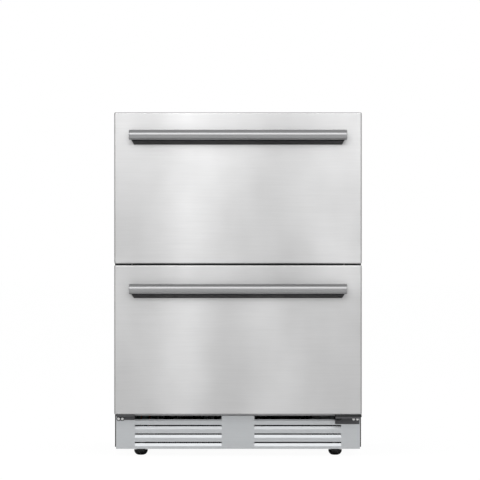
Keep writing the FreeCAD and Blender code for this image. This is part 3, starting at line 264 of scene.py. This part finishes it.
FRONT_GRAIN, BAR_GRAIN, KICK_GRAIN = (5.0, 5.0, 1400.0), (5.0, 1400.0, 1400.0), (5.0, 1200.0, 1200.0)
FIN_GRAIN, TUBE_GRAIN = (900.0, 900.0, 12.0), even(160.0)
FINISHES = {
    # the fronts carry painted reflections and painted shade at their folded sides in their base colour
    "front_steel": brushed("front_brushed_steel_painted_reflections", (0.65, 0.65, 0.652), 0.39, FRONT_GRAIN, tone=0.025,
                           painted_reflections=True),
    "handle_steel": brushed("handle_brushed_steel", (0.385, 0.385, 0.39), 0.28, BAR_GRAIN),
    "kick_steel": brushed("kick_plate_steel", (0.545, 0.56, 0.574), 0.38, KICK_GRAIN),
    "cabinet_black": painted("cabinet_black_paint", (0.014, 0.014, 0.015), 0.46),
    "bracket_grey": painted("bracket_grey_paint", (0.085, 0.085, 0.09), 0.4),
    # the deck's grey paint is set darker than its own tone, as painted shade for the shaded strip under
    # the lower front
    "deck_grey": painted("deck_grey_paint_darkened_as_shade", (0.36, 0.36, 0.37), 0.45),
    "bracket_black": painted("bracket_black_paint", (0.008, 0.008, 0.0085), 0.5, gloss=0.12),
    "zinc": galvanised("galvanised_sheet", (0.5, 0.51, 0.52), 75.0, contrast=0.13),
    "cover_zinc": galvanised("service_cover_sheet", (0.45, 0.46, 0.47), 60.0, contrast=0.11),
    "slide_zinc": galvanised("slide_zinc_plating", (0.6, 0.61, 0.62), 260.0, contrast=0.04),
    "screw_zinc": galvanised("screw_zinc_plating", (0.86, 0.86, 0.85), 700.0, contrast=0.04),
    "foam": foamed("cabinet_foam", (0.82, 0.74, 0.52)),
    "liner_white": moulded("liner_white_plastic", (0.8, 0.81, 0.81), 0.3),
    "bin_grey": painted("bin_powder_coat", (0.62, 0.63, 0.64), 0.45, peel=1300.0),
    "seal_black": moulded("seal_black_rubber", (0.02, 0.02, 0.021), 0.62),
    "pad_black": moulded("pad_black_rubber", (0.016, 0.016, 0.017), 0.7),
    "foot_black": moulded("foot_black_plastic", (0.014, 0.014, 0.015), 0.48),
    "control_black": moulded("control_black_plastic", (0.035, 0.035, 0.037), 0.36),
    "display_dark": moulded("display_dark_window", (0.006, 0.007, 0.009), 0.12, grain=60.0,
                            depth=0.000002),
    "button_grey": moulded("button_grey_plastic", (0.36, 0.37, 0.38), 0.34),
    "lamp_white": lit("lamp_milky_plastic", (0.9, 0.9, 0.87), 0.35),
    "coil_black": painted("condenser_black_coat", (0.018, 0.018, 0.018), 0.72),
    "coil_aluminium": brushed("evaporator_aluminium", (0.74, 0.75, 0.76), 0.34, FIN_GRAIN),
    "fan_black": moulded("fan_black_plastic", (0.022, 0.022, 0.023), 0.5),
    "motor_grey": painted("motor_grey_paint", (0.25, 0.26, 0.27), 0.4),
    "compressor_black": painted("compressor_enamel", (0.016, 0.016, 0.018), 0.26, peel=260.0,
                                depth=0.0001),
    "pan_grey": moulded("pan_grey_plastic", (0.18, 0.18, 0.19), 0.52),
    "copper": brushed("refrigerant_copper", (0.72, 0.4, 0.26), 0.3, TUBE_GRAIN, tone=0.1),
}
SEGMENT_GLOW = lit("display_segments", (0.35, 0.8, 0.95), 0.9)
OWN_FINISHES = {"rear_service_cover": "cover_zinc"}     # from another sheet than the rear panel
for entry in frame["record"]["subparts"]:
    finish = OWN_FINISHES.get(entry["node"], entry["material_slot"])
    for place in NODES[entry["node"]].material_slots:
        place.material = FINISHES[finish]


# Making pieces

def piece(name, mesh, body, finish=None):
    """Sets a mesh in the scene as a piece that rides on a body."""
    made = bpy.data.objects.new(name, mesh)
    bpy.context.scene.collection.objects.link(made)
    if finish:
        mesh.materials.clear()
        mesh.materials.append(finish)
    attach(made, body)
    return made


def drawn(name, draw):
    """A mesh from a function that fills a bmesh."""
    work = bmesh.new()
    draw(work)
    bmesh.ops.recalc_face_normals(work, faces=work.faces)
    mesh = bpy.data.meshes.new(name)
    work.to_mesh(mesh)
    work.free()
    return mesh


def add_ring(work, outline, height):
    return [work.verts.new((x, y, height)) for x, y in outline]


def add_wall(work, low, high):
    """Faces between two rings of as many corners."""
    count = len(low)
    for i in range(count):
        after = (i + 1) % count
        work.faces.new((low[i], low[after], high[after], high[i]))


def circle_points(radius, count):
    turns = [math.tau * i / count for i in range(count)]
    return [(radius * math.cos(turn), radius * math.sin(turn)) for turn in turns]


def add_block(work, centre, size):
    made = bmesh.ops.create_cube(work, size=1.0)["verts"]
    bmesh.ops.scale(work, verts=made, vec=size)
    bmesh.ops.translate(work, verts=made, vec=centre)


HEAD_SIDES = 12
HEAD_PROFILE = ((1.0, 0.0), (1.0, 0.4), (0.86, 0.82), (0.66, 1.0))    # shares of radius and rise
RECESS_ARM, RECESS_SLOT, RECESS_TAPER, RECESS_FLOOR = 0.5, 0.13, 0.8, 0.35


def screw_head(radius, rise):
    """A pan head along Z with a cross recess, a few dozen faces."""
    arm, slot = radius * RECESS_ARM, radius * RECESS_SLOT
    cross = [(slot, slot), (slot, arm), (-slot, arm), (-slot, slot), (-arm, slot), (-arm, -slot),
             (-slot, -slot), (-slot, -arm), (slot, -arm), (slot, -slot), (arm, -slot), (arm, slot)]

    def draw(work):
        rings = [add_ring(work, circle_points(radius * wide, HEAD_SIDES), rise * height)
                 for wide, height in HEAD_PROFILE]
        for low, high in zip(rings, rings[1:]):
            add_wall(work, low, high)
        rim = add_ring(work, cross, rise)
        tapered = [(x * RECESS_TAPER, y * RECESS_TAPER) for x, y in cross]
        floor = add_ring(work, tapered, rise * RECESS_FLOOR)
        add_wall(work, rim, floor)
        work.faces.new(floor)
        loops = [work.edges.get((ring[i], ring[(i + 1) % HEAD_SIDES]))
                 for ring in (rings[-1], rim) for i in range(HEAD_SIDES)]
        bmesh.ops.bridge_loops(work, edges=loops)
        work.faces.new(rings[0][::-1])

    return drawn("screw_head", draw)


def ball(radius):
    return drawn("ball", lambda work: bmesh.ops.create_icosphere(work, subdivisions=2, radius=radius))


# Node trees for what repeats

def new_tree(name, sockets):
    """An empty tree with named inputs; gives the tree, its two ends and the inputs' identifiers."""
    tree = bpy.data.node_groups.new(name, "GeometryNodeTree")
    keys = {}
    for label, kind in sockets:
        socket = tree.interface.new_socket(label, in_out="INPUT", socket_type="NodeSocket" + kind)
        keys[label] = socket.identifier
    tree.interface.new_socket("Result", in_out="OUTPUT", socket_type="NodeSocketGeometry")
    start = tree.nodes.new("NodeGroupInput")
    end = tree.nodes.new("NodeGroupOutput")
    return tree, start, end, keys


def close_tree(tree, start, end, geometry):
    """Ends a tree in real faces with their finish."""
    real = tree.nodes.new("GeometryNodeRealizeInstances")
    paint = tree.nodes.new("GeometryNodeSetMaterial")
    tree.links.new(geometry, real.inputs["Geometry"])
    tree.links.new(real.outputs["Geometry"], paint.inputs["Geometry"])
    tree.links.new(start.outputs["Finish"], paint.inputs["Material"])
    tree.links.new(paint.outputs["Geometry"], end.inputs["Result"])


def shape_on_spots():
    """One small shape on every spot, turned to the direction that the spot carries."""
    tree, start, end, keys = new_tree("shape_on_spots", (
        ("Spots", "Geometry"), ("Shape", "Object"), ("Finish", "Material")))
    facing = tree.nodes.new("GeometryNodeInputNamedAttribute")
    facing.data_type = "FLOAT_VECTOR"
    facing.inputs["Name"].default_value = "facing"
    turn = tree.nodes.new("FunctionNodeAlignRotationToVector")
    turn.axis = "Z"
    shape = tree.nodes.new("GeometryNodeObjectInfo")
    copies = tree.nodes.new("GeometryNodeInstanceOnPoints")
    link = tree.links.new
    link(start.outputs["Shape"], shape.inputs["Object"])
    link(facing.outputs["Attribute"], turn.inputs["Vector"])
    link(start.outputs["Spots"], copies.inputs["Points"])
    link(shape.outputs["Geometry"], copies.inputs["Instance"])
    link(turn.outputs["Rotation"], copies.inputs["Rotation"])
    close_tree(tree, start, end, copies.outputs["Instances"])
    return tree, keys


def bars_in_row():
    """Equal bars from a first place, one step apart."""
    tree, start, end, keys = new_tree("bars_in_row", (
        ("Spots", "Geometry"), ("Count", "Int"), ("First", "Vector"), ("Step", "Vector"),
        ("Size", "Vector"), ("Finish", "Material")))
    row = tree.nodes.new("GeometryNodeMeshLine")
    bar = tree.nodes.new("GeometryNodeMeshCube")
    copies = tree.nodes.new("GeometryNodeInstanceOnPoints")
    link = tree.links.new
    link(start.outputs["Count"], row.inputs["Count"])
    link(start.outputs["First"], row.inputs["Start Location"])
    link(start.outputs["Step"], row.inputs["Offset"])
    link(start.outputs["Size"], bar.inputs["Size"])
    link(row.outputs["Mesh"], copies.inputs["Points"])
    link(bar.outputs["Mesh"], copies.inputs["Instance"])
    close_tree(tree, start, end, copies.outputs["Instances"])
    return tree, keys


SPOT_TREE = shape_on_spots()
BAR_TREE = bars_in_row()


def grown(name, base, tree_and_keys, values):
    """Runs a tree on a base mesh and gives its result as a plain mesh."""
    tree, keys = tree_and_keys
    holder = bpy.data.objects.new(name, base)
    bpy.context.scene.collection.objects.link(holder)
    run = holder.modifiers.new("grow", "NODES")
    run.node_group = tree
    for label, value in values.items():
        run[keys[label]] = value
    graph = bpy.context.evaluated_depsgraph_get()
    mesh = bpy.data.meshes.new_from_object(holder.evaluated_get(graph))
    bpy.data.objects.remove(holder)
    mesh.name = name
    return mesh


def set_on(name, shape, spots, body, slot):
    """Copies of a small shape on spots of (place, direction), as one piece."""
    base = bpy.data.meshes.new(name + "_spots")
    base.from_pydata([place for place, way in spots], [], [])
    facing = base.attributes.new("facing", "FLOAT_VECTOR", "POINT")
    facing.data.foreach_set("vector", [c for place, way in spots for c in way])
    model = bpy.data.objects.new(name + "_model", shape)
    bpy.context.scene.collection.objects.link(model)
    mesh = grown(name, base, SPOT_TREE, {"Shape": model, "Finish": FINISHES[slot]})
    bpy.data.objects.remove(model)
    return piece(name, mesh, body)


def bar_row(name, count, first, step, size, slot):
    """A mesh of equal bars, each a step on from the one before."""
    base = bpy.data.meshes.new(name + "_base")
    return grown(name, base, BAR_TREE, {
        "Count": count, "First": first, "Step": step, "Size": size, "Finish": FINISHES[slot]})


def merged(name, meshes):
    work = bmesh.new()
    for mesh in meshes:
        work.from_mesh(mesh)
    whole = bpy.data.meshes.new(name)
    work.to_mesh(whole)
    work.free()
    return whole


# Screws of the back and of the corner brackets, balls and rivets of the slides

BACKWARD, FORWARD = (0.0, 1.0, 0.0), (0.0, -1.0, 0.0)


def make_back_screws():
    low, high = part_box("rear_panel")
    cover_low, cover_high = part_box("rear_service_cover")
    head_radius, head_rise = 0.0042, 0.0012
    edge, corner, across = 0.010, 0.02, 0.14
    between = (0.2, 0.385)
    spots = []
    for side in SIDES:
        x = side * (high.x - edge)
        for z in (low.z + corner, *(low.z + rise for rise in between), high.z - corner):
            spots.append(((x, high.y, z), BACKWARD))
        for z in (cover_low.z + corner, cover_high.z - corner):
            spots.append(((x, cover_high.y, z), BACKWARD))
    for x in (-across, 0.0, across):
        spots.append(((x, high.y, high.z - edge), BACKWARD))
        spots.append(((x, cover_high.y, cover_high.z - edge), BACKWARD))
    set_on("back_screws", screw_head(head_radius, head_rise), spots, "cabinet", "screw_zinc")


def make_bracket_screws():
    head_radius, plate_thickness = 0.0035, 0.003
    left_height, right_height = 0.090, 0.089
    outer, inner = 0.2885, 0.2795
    plate_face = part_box("left_corner_bracket")[1].y - plate_thickness
    head_rise = plate_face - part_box("bracket_screws")[0].y
    spots = [((side * x, plate_face, z), FORWARD)
             for side, z in zip(SIDES, (left_height, right_height)) for x in (outer, inner)]
    head = screw_head(head_radius, head_rise)
    screws = set_on("corner_bracket_screws", head, spots, "cabinet", "screw_zinc")
    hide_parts("bracket_screws")


def make_slide_details(name):
    """Balls in both cages of each middle member, and the rivets of the arm on the inner member."""
    low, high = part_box(f"{name}_slide_middle")
    centre = (low.z + high.z) / 2
    track = 0.24915
    ball_radius, ball_pitch, ball_count = 0.0016, 0.0086, 18
    outer_cage, inner_cage = (0.0196, 0.0455), (0.0146, -0.1645)
    spots = [((side * track, first + ball_pitch * i, centre + up * height), FORWARD)
             for height, first in (outer_cage, inner_cage)
             for side in SIDES for up in SIDES for i in range(ball_count)]
    set_on(f"{name}_slide_balls", ball(ball_radius), spots, f"{name}_slide_middle", "screw_zinc")
    rivet_radius, rivet_rise, arm_thickness = 0.004, 0.0006, 0.002
    rivet_places = (-0.17, -0.05, 0.07, 0.19)
    arm_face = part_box(f"{name}_drawer_arms")[1].x - arm_thickness
    rivets = [((side * arm_face, y, centre), (-side, 0.0, 0.0))
              for side in SIDES for y in rivet_places]
    head = screw_head(rivet_radius, rivet_rise)
    set_on(f"{name}_arm_rivets", head, rivets, f"{name}_drawer", "screw_zinc")


# Fins between the coils' own ones, and ribbed mats in the bins

def make_fins(node, slot, count, end):
    """Thin fins across a coil, the first and last an end short of its sides."""
    thickness, inset = 0.0003, 0.004
    low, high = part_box(node)
    left, right = low.x + end, high.x - end
    step = (right - left) / (count - 1)
    middle = (low + high) / 2
    size = (thickness, high.y - low.y - inset, high.z - low.z - inset)
    mesh = bar_row(f"{node}_fins", count, (left, middle.y, middle.z), (step, 0.0, 0.0), size, slot)
    piece(f"{node}_fins", mesh, "cabinet")


def make_mat(name):
    """A rubber sheet on the floor of a bin, with ribs across it."""
    bin_sheet, gap = 0.0012, 0.0027
    width, thickness = 0.4524, 0.0016
    rib_pitch, rib_width, rib_end = 0.012, 0.004, 0.004
    low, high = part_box(f"{name}_drawer_bin")
    front, rear = low.y + gap, high.y - gap
    floor = low.z + bin_sheet
    middle = (0.0, (front + rear) / 2, floor + thickness / 2)
    sheet = bar_row(f"{name}_mat_sheet", 1, middle, (0.0, 0.0, 0.0),
                    (width, rear - front, thickness), "pad_black")
    first_rib = (0.0, front + rib_pitch / 2, floor + thickness + thickness / 2)
    ribs = bar_row(f"{name}_mat_ribs", int((rear - front) / rib_pitch), first_rib, (0.0, rib_pitch, 0.0),
                   (width - rib_end * 2, rib_width, thickness), "pad_black")
    mesh = merged(f"{name}_bin_mat", (sheet, ribs))
    piece(f"{name}_bin_mat", mesh, f"{name}_drawer", FINISHES["pad_black"])


# Wrench flats on the levelling feet

def make_foot_flats(name):
    radius, height, bevel, lift = 0.0098, 0.0075, 0.0006, 0.013
    low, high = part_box(name)
    middle = (low + high) / 2

    def draw(work):
        outline = circle_points(radius, 6)
        lower, upper = add_ring(work, outline, 0.0), add_ring(work, outline, height)
        add_wall(work, lower, upper)
        work.faces.new(lower[::-1])
        top = work.faces.new(upper)
        bmesh.ops.bevel(work, geom=list(top.edges), offset=bevel, segments=2, affect="EDGES")
        bmesh.ops.translate(work, verts=work.verts, vec=(middle.x, middle.y, low.z + lift))

    piece(name + "_flats", drawn(name + "_flats", draw), name, FINISHES["foot_black"])


# Figures of the display and signs of the buttons

# Each bar's place as shares of a half width and a half height, and whether it lies flat
SEGMENTS = {"a": (0, 1, True), "b": (1, 0.5, False), "c": (1, -0.5, False), "d": (0, -1, True),
            "e": (-1, -0.5, False), "f": (-1, 0.5, False), "g": (0, 0, True)}
FIGURES = ("abcdg", "abc")


def make_figures():
    """A three and a seven, each of seven places for bars."""
    wide, tall, bar, thickness = 0.0024, 0.0036, 0.0007, 0.0002
    pitch, corner = 0.0085, bar * 1.6
    low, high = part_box("control_display")
    middle = (low + high) / 2

    def draw(work):
        for i, figure in enumerate(FIGURES):
            x = middle.x + (i - 0.5) * pitch
            for letter in figure:
                across, up, flat = SEGMENTS[letter]
                size = (wide * 2 - corner, thickness, bar) if flat else (bar, thickness, tall - corner)
                add_block(work, (x + across * wide, low.y, middle.z + up * tall), size)

    piece("display_figures", drawn("display_figures", draw), "cabinet", SEGMENT_GLOW)


def make_button_sign(name, strokes):
    """A sign of strokes with a width and a height each."""
    thickness = 0.0003
    low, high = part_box(f"{name}_button")
    middle = (low + high) / 2

    def draw(work):
        for wide, tall in strokes:
            add_block(work, (middle.x, low.y, middle.z), (wide, thickness, tall))

    mesh = drawn(f"{name}_sign", draw)
    piece(f"{name}_sign", mesh, f"{name}_button", FINISHES["control_black"])


STROKE = 0.0042
STROKE_WIDTH = STROKE * 0.22
MINUS, UPRIGHT = (STROKE, STROKE_WIDTH), (STROKE_WIDTH, STROKE)

make_back_screws()
make_bracket_screws()
for drawer in ("upper", "lower"):
    make_slide_details(drawer)
    make_mat(drawer)
make_fins("condenser", "coil_black", count=34, end=0.0216)
make_fins("evaporator", "coil_aluminium", count=68, end=0.0184)
for foot in ("front_left_foot", "front_right_foot", "rear_left_foot", "rear_right_foot"):
    make_foot_flats(foot)
make_figures()
make_button_sign("colder", (MINUS,))
make_button_sign("warmer", (MINUS, UPRIGHT))


# Floor, light and camera

WHITE = (1.0, 1.0, 1.0, 1.0)
SOFT_LIGHT = 0.55
# The studio's tones from straight down to straight up
STUDIO_HEIGHTS = ((0.0, 1.0), (0.5, 1.0), (0.53, 1.0), (0.62, 1.0), (0.68, 0.75), (0.74, 0.55),
                  (0.84, 0.55), (1.0, 0.6))
SIDE_REACH, SIDE_TONES = (0.45, 0.95), (1.0, 0.2)
FLOOR_REACH, FLOOR_GREY, FLOOR_ROUGHNESS = 30.0, 0.9, 0.9
FLOOR_WHITE, FLOOR_WHITE_SHARE = 1.035, 0.93


def seen_share(tree):
    """Light Path, and 1 for the rays by which the camera sees a thing, also through glass."""
    path = tree.nodes.new("ShaderNodeLightPath")
    either = tree.nodes.new("ShaderNodeMath")
    either.operation = "MAXIMUM"
    tree.links.new(path.outputs["Is Camera Ray"], either.inputs[0])
    tree.links.new(path.outputs["Is Transmission Ray"], either.inputs[1])
    return path, either.outputs["Value"]


def mixed(tree, share, first, second):
    mix = tree.nodes.new("ShaderNodeMixShader")
    tree.links.new(share, mix.inputs["Fac"])
    tree.links.new(first, mix.inputs[1])
    tree.links.new(second, mix.inputs[2])
    return mix.outputs["Shader"]


def background(tree, strength, colour=None):
    made = tree.nodes.new("ShaderNodeBackground")
    made.inputs["Color"].default_value = WHITE
    made.inputs["Strength"].default_value = strength
    if colour:
        tree.links.new(colour, made.inputs["Color"])
    return made.outputs["Background"]


def studio_colour(tree):
    """White around the object at its own height, darker overhead and to the sides."""
    place = tree.nodes.new("ShaderNodeTexCoord")
    split = tree.nodes.new("ShaderNodeSeparateXYZ")
    tree.links.new(place.outputs["Generated"], split.inputs["Vector"])
    height = spread_nodes(tree, split.outputs["Z"], 0.0, 1.0, -1.0, 1.0)
    aside = tree.nodes.new("ShaderNodeMath")
    aside.operation = "ABSOLUTE"
    tree.links.new(split.outputs["X"], aside.inputs[0])
    both = tree.nodes.new("ShaderNodeVectorMath")
    both.operation = "SCALE"
    tree.links.new(ramp_nodes(tree, height, STUDIO_HEIGHTS), both.inputs[0])
    dim = spread_nodes(tree, aside.outputs["Value"], *SIDE_TONES, *SIDE_REACH)
    tree.links.new(dim, both.inputs["Scale"])
    return both.outputs["Vector"]


def make_world():
    """White behind the object, soft light on it, and a studio for its gloss."""
    world = bpy.data.worlds.new("studio")
    bpy.context.scene.world = world
    world.use_nodes = True
    tree = world.node_tree
    path, seen = seen_share(tree)
    soft, studio = background(tree, SOFT_LIGHT), background(tree, 1.0, studio_colour(tree))
    on_object = mixed(tree, path.outputs["Is Glossy Ray"], soft, studio)
    whole = mixed(tree, seen, on_object, background(tree, 1.0))
    tree.links.new(whole, tree.nodes["World Output"].inputs["Surface"])


def make_floor():
    """A pale floor that the camera sees nearly white, with a share of its own shade."""
    far = FLOOR_REACH
    corners = [(-far, -far, 0.0), (far, -far, 0.0), (far, far, 0.0), (-far, far, 0.0)]
    mesh = bpy.data.meshes.new("floor")
    mesh.from_pydata(corners, [], [(0, 1, 2, 3)])
    floor = bpy.data.objects.new("floor", mesh)
    bpy.context.scene.collection.objects.link(floor)
    finish = bpy.data.materials.new("floor_white")
    finish.use_nodes = True
    tree = finish.node_tree
    plain = tree.nodes["Principled BSDF"]
    plain.inputs["Base Color"].default_value = (FLOOR_GREY, FLOOR_GREY, FLOOR_GREY, 1.0)
    plain.inputs["Roughness"].default_value = FLOOR_ROUGHNESS
    white = tree.nodes.new("ShaderNodeEmission")
    white.inputs["Color"].default_value = WHITE
    white.inputs["Strength"].default_value = FLOOR_WHITE
    share = tree.nodes.new("ShaderNodeMath")
    share.operation = "MULTIPLY"
    share.inputs[1].default_value = FLOOR_WHITE_SHARE
    tree.links.new(seen_share(tree)[1], share.inputs[0])
    surface = mixed(tree, share.outputs["Value"], plain.outputs["BSDF"], white.outputs["Emission"])
    tree.links.new(surface, tree.nodes["Material Output"].inputs["Surface"])
    mesh.materials.append(finish)


def make_lamp(name, place, aim, size, power, nodes=()):
    """A softbox, for all pieces or for a few nodes alone."""
    light = bpy.data.lights.new(name, "AREA")
    light.shape = "RECTANGLE"
    light.size, light.size_y = size
    light.energy = power
    lamp = bpy.data.objects.new(name, light)
    lamp.location = place
    lamp.rotation_euler = (Vector(aim) - Vector(place)).to_track_quat("-Z", "Y").to_euler()
    lamp.visible_camera = False
    bpy.context.scene.collection.objects.link(lamp)
    if nodes:
        lit_alone = bpy.data.collections.new(name + "_pieces")
        for node in nodes:
            lit_alone.objects.link(NODES[node])
        lamp.light_linking.receiver_collection = lit_alone


def make_camera():
    """A level camera in front, at the photograph's scale on the faces of the drawers."""
    frame_pixels, pixels_a_metre = 480, 415.97
    reach, face = 8.0, -0.2575
    across, height = 0.0048, 0.5222
    view = bpy.data.cameras.new("camera")
    view.sensor_fit = "HORIZONTAL"
    view.sensor_width = 36.0
    view.lens = view.sensor_width * reach * pixels_a_metre / frame_pixels
    view.clip_end = 200.0
    camera = bpy.data.objects.new("camera", view)
    bpy.context.scene.collection.objects.link(camera)
    camera.location = (across, face - reach, height)
    camera.rotation_euler = (math.radians(90.0), 0.0, 0.0)
    bpy.context.scene.camera = camera


make_world()
make_floor()
make_lamp("high_softbox", (-0.3, -2.9, 2.05), aim=(0.0, -0.26, 0.6), size=(6.0, 1.7), power=50.0)
make_lamp("front_softbox", (-0.6, -5.3, 2.2), aim=(0.0, 0.0, 0.6), size=(2.4, 0.5), power=22.0,
          nodes=("upper_front_skin", "lower_front_skin"))
make_lamp("left_softbox", (-2.6, -1.6, 1.5), aim=(0.0, 0.0, 0.5), size=(1.2, 1.8), power=10.0)
make_lamp("right_softbox", (2.8, -1.2, 1.5), aim=(0.0, 0.0, 0.5), size=(1.2, 1.8), power=8.0)
make_camera()
bpy.context.scene.view_settings.view_transform = "Standard"
